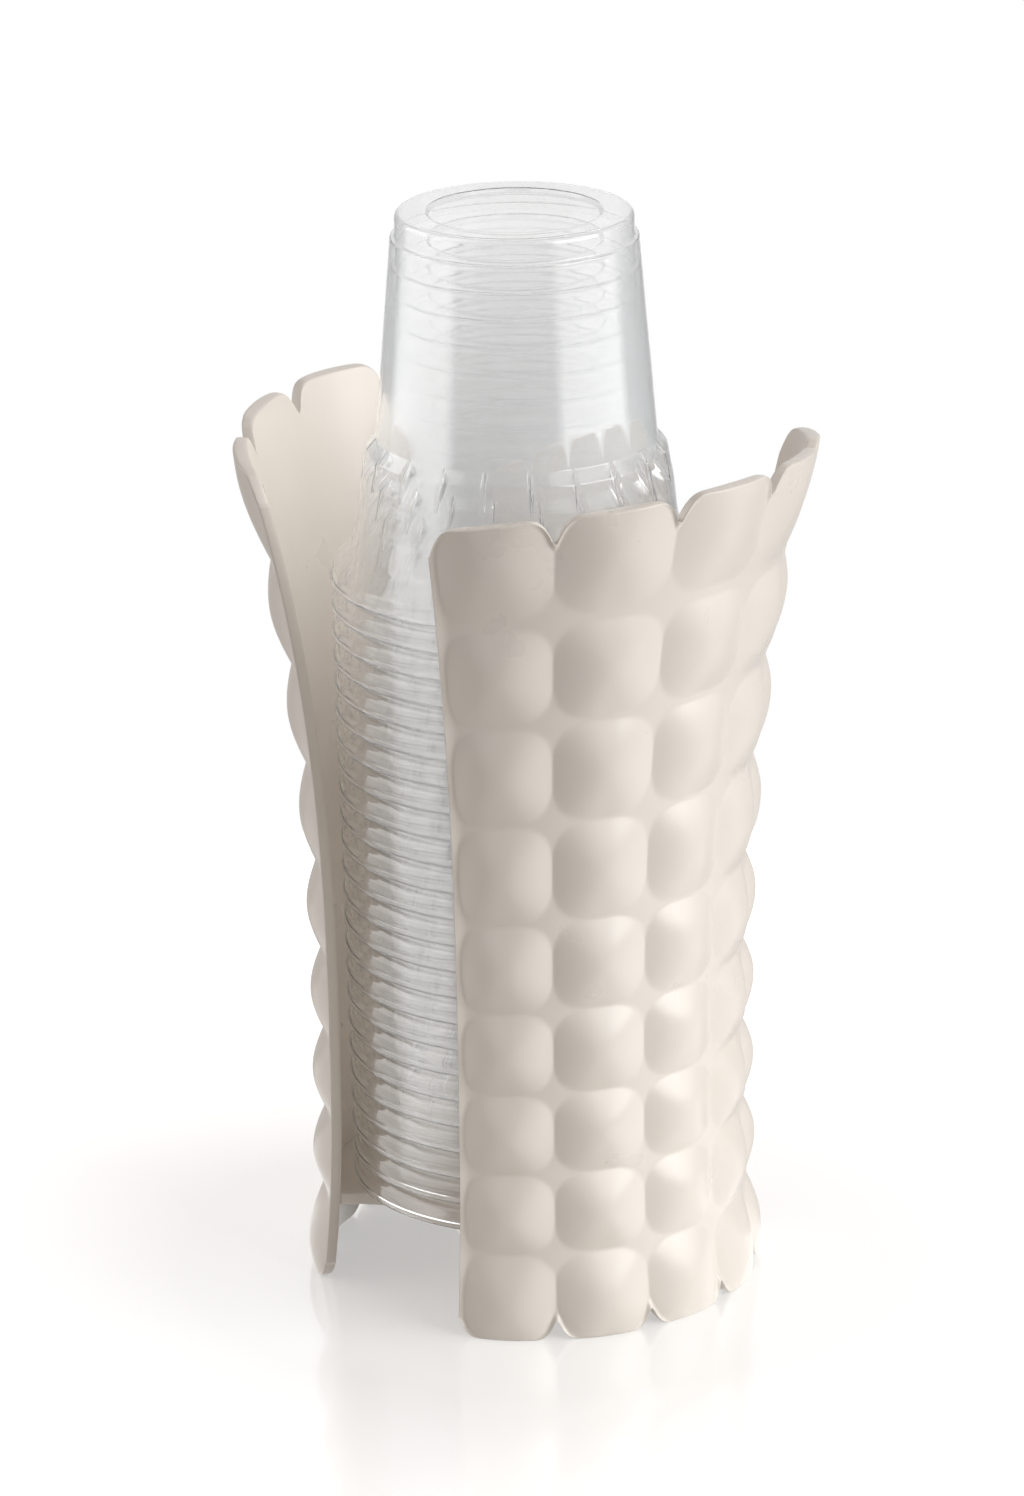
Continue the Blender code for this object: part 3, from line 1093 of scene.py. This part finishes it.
@dataclass(frozen=True)
class Studio:
    """Camera, softboxes, white table and backdrop.

    The table glows to the lens alone: evenly near the object, so that its shadow and mirror image
    show, and more towards the edge, where it turns as white as the backdrop.
    """

    view: View = View()
    softboxes: tuple[Softbox, ...] = (
        Softbox("right_softbox", azimuth=62, elevation=21, watts=15.5),
        Softbox("left_softbox", azimuth=-100, elevation=18, watts=4.5),
    )
    table_radius: float = 0.25
    table_spokes: int = 96
    table_colour: str = "FDFBF8"
    table_tone: str = "C4C4C3"
    table_glow: float = 0.44
    table_edge_glow: float = 1.0
    near_share: float = 0.27
    table_ior: float = 2.0
    table_roughness: float = 0.12
    ambient: float = 0.2
    backdrop_level: float = 0.65
    ambient_colour: str = "FFF3EB"
    clear_bounces: int = 96
    film_bounces: int = 256
    mirror_bounces: int = 32
    scatter_bounces: int = 8

    @staticmethod
    def seen_in_gloss(tree: bpy.types.NodeTree, path: bpy.types.Node) -> bpy.types.NodeSocket:
        """Add nodes that tell a ray that only gloss or clear walls sent on.

        Args:
            tree: Node tree that takes the nodes.
            path: The tree's Light Path node.

        Returns:
            Socket with 1 for such a ray and 0 for others.
        """
        rays = {0: path.outputs["Is Glossy Ray"], 1: path.outputs["Is Transmission Ray"]}
        sent = add_node(tree, "ShaderNodeMath", {"operation": "MAXIMUM"}, rays)
        direct = add_node(
            tree,
            "ShaderNodeMath",
            {"operation": "LESS_THAN", 1: NO_BOUNCE},
            {0: path.outputs["Diffuse Depth"]},
        )
        both = {0: sent.outputs["Value"], 1: direct.outputs["Value"]}
        return add_node(tree, "ShaderNodeMath", {"operation": "MULTIPLY"}, both).outputs["Value"]

    def build_table(self) -> bpy.types.Object:
        """Make the table: a disc that keeps the object's shadow and mirrors it softly.

        Returns:
            The table.
        """
        material, tree = empty_material("white_studio_table")
        path = add_node(tree, "ShaderNodeLightPath")
        place = add_node(tree, "ShaderNodeTexCoord").outputs["Object"]
        mirrored = self.seen_in_gloss(tree, path)
        distance = add_node(tree, "ShaderNodeVectorMath", {"operation": "LENGTH"}, {0: place})
        grown = add_node(
            tree,
            "ShaderNodeMapRange",
            {
                "From Min": self.near_share * self.table_radius,
                "From Max": self.table_radius,
                "To Min": self.table_glow,
                "To Max": self.table_edge_glow,
            },
            {"Value": distance.outputs["Value"]},
        )
        strength = add_node(
            tree,
            "ShaderNodeMath",
            {"operation": "MULTIPLY"},
            {0: grown.outputs["Result"], 1: path.outputs["Is Camera Ray"]},
        )
        glow = add_node(tree, "ShaderNodeEmission", links={"Strength": strength.outputs["Value"]})
        colour = add_node(
            tree,
            "ShaderNodeMix",
            {"data_type": "RGBA", 6: linear(self.table_colour), 7: linear(self.table_tone)},
            {0: path.outputs["Is Camera Ray"]},
        )
        sheet = add_node(
            tree,
            "ShaderNodeBsdfPrincipled",
            {"Roughness": self.table_roughness, "IOR": self.table_ior},
            {"Base Color": colour.outputs[2]},
        )
        lit = add_node(
            tree, "ShaderNodeAddShader", links={0: glow.outputs["Emission"], 1: sheet.outputs["BSDF"]}
        )
        bright = Surround(self.view.heading).brightness(tree, place)
        around = add_node(tree, "ShaderNodeEmission", links={"Strength": bright})
        shown = add_node(
            tree,
            "ShaderNodeMixShader",
            links={0: mirrored, 1: lit.outputs["Shader"], 2: around.outputs["Emission"]},
        )
        add_node(tree, "ShaderNodeOutputMaterial", links={"Surface": shown.outputs["Shader"]})
        spokes = self.table_spokes
        angle = np.linspace(0, math.tau, spokes, endpoint=False)
        ring = self.table_radius * np.stack([np.cos(angle), np.sin(angle), 0 * angle], axis=-1)
        ids = np.arange(spokes)
        faces = [np.stack([np.full(spokes, spokes), ids, np.roll(ids, -1)], axis=-1)]
        table = make_piece("studio_table", np.concatenate([ring, [[0, 0, 0]]]), faces, material)
        return table

    def build_backdrop(self) -> None:
        """Make the world: white to the lens, the surround to gloss, and to the rest a soft fill.

        The fill grows from the ambient level at the lens to the backdrop's level behind the object.
        """
        world = bpy.data.worlds.new("studio_backdrop")
        bpy.context.scene.world = world
        world.use_nodes = True
        tree = world.node_tree
        tree.nodes.clear()
        path = add_node(tree, "ShaderNodeLightPath")
        direction = add_node(tree, "ShaderNodeTexCoord").outputs["Generated"]
        away = (-math.sin(self.view.heading), math.cos(self.view.heading), 0)
        behind = add_node(tree, "ShaderNodeVectorMath", {"operation": "DOT_PRODUCT", 1: away}, {0: direction})
        level = add_node(
            tree,
            "ShaderNodeMapRange",
            {"From Min": -1, "To Min": self.ambient, "To Max": self.backdrop_level},
            {"Value": behind.outputs["Value"]},
        )
        fill = add_node(
            tree,
            "ShaderNodeBackground",
            {"Color": linear(self.ambient_colour)},
            {"Strength": level.outputs["Result"]},
        )
        bright = Surround(self.view.heading).brightness(tree, direction)
        around = add_node(tree, "ShaderNodeBackground", links={"Strength": bright})
        white = add_node(tree, "ShaderNodeBackground", {"Color": linear("FFFFFF")})
        unseen = add_node(
            tree,
            "ShaderNodeMixShader",
            links={
                0: self.seen_in_gloss(tree, path),
                1: fill.outputs["Background"],
                2: around.outputs["Background"],
            },
        )
        shown = add_node(
            tree,
            "ShaderNodeMixShader",
            links={
                0: path.outputs["Is Camera Ray"],
                1: unseen.outputs["Shader"],
                2: white.outputs["Background"],
            },
        )
        add_node(tree, "ShaderNodeOutputWorld", links={"Surface": shown.outputs["Shader"]})

    def build(self) -> None:
        """Set up the whole studio and let light through as many clear walls as the stack has."""
        scene = bpy.context.scene
        scene.view_settings.view_transform = "Standard"
        scene.cycles.transparent_max_bounces = self.film_bounces
        scene.cycles.max_bounces = self.clear_bounces
        scene.cycles.transmission_bounces = self.clear_bounces
        scene.cycles.glossy_bounces = self.mirror_bounces
        scene.cycles.diffuse_bounces = self.scatter_bounces
        self.view.build()
        for softbox in self.softboxes:
            softbox.build(self.view.heading)
        self.build_table()
        self.build_backdrop()


def main() -> None:
    """Build the studio, the holder and the cups in order, and report each piece."""
    Studio().build()
    LOG.info("studio ready")
    satin = SatinPlastic().material()
    clear = ClearPlastic().material()
    holder = HolderForm(height=float(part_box("holder")[1].z))
    pieces = [HolderWall(side, holder).build(satin) for side in Side]
    pieces.append(FloorPlate(holder).build(satin))
    nodes = tuple(sorted(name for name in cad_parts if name.startswith("cup_")))
    low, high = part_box(nodes[0])
    cup = CupForm(height=high.z - low.z, lip_radius=(high.x - low.x) / 2)
    pieces += CupStack(cup, nodes).build(clear)
    for piece in pieces:
        LOG.info("%s: %d faces", piece.name, len(piece.data.polygons))


if __name__ == "__main__":
    logging.basicConfig(level=logging.INFO, format="%(name)s: %(message)s")
    main()
